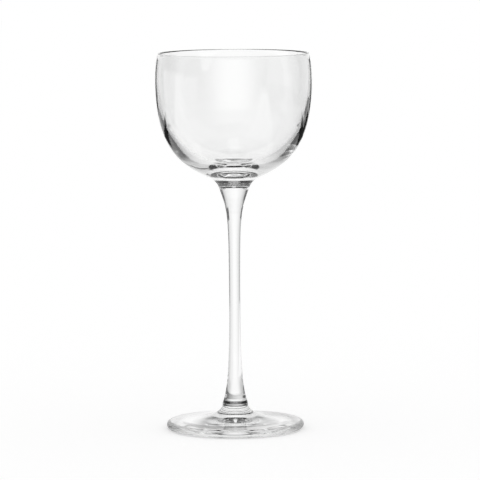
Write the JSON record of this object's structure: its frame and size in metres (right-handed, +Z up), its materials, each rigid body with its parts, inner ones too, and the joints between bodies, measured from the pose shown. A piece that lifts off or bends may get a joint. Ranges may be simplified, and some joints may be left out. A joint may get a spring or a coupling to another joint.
{
  "type": "pony glass",
  "caption": "Small stemmed drinking glass in clear glass: deep round bowl with a thin lip, slim drawn stem and a flat round foot.",
  "frame": {"origin": "centre of the foot's resting plane, on the axis of the glass", "axes": "+Z up along the axis of the glass, from the foot to the lip; X and Y are free because the glass is round"},
  "size_m": [0.0668, 0.0668, 0.161],
  "materials": {
    "clear_glass": "clear, colourless, fire-polished glass with a bright smooth surface"
  },
  "bodies": {
    "root": {"bowl": "clear_glass", "stem": "clear_glass", "foot": "clear_glass"}
  },
  "joints": []
}
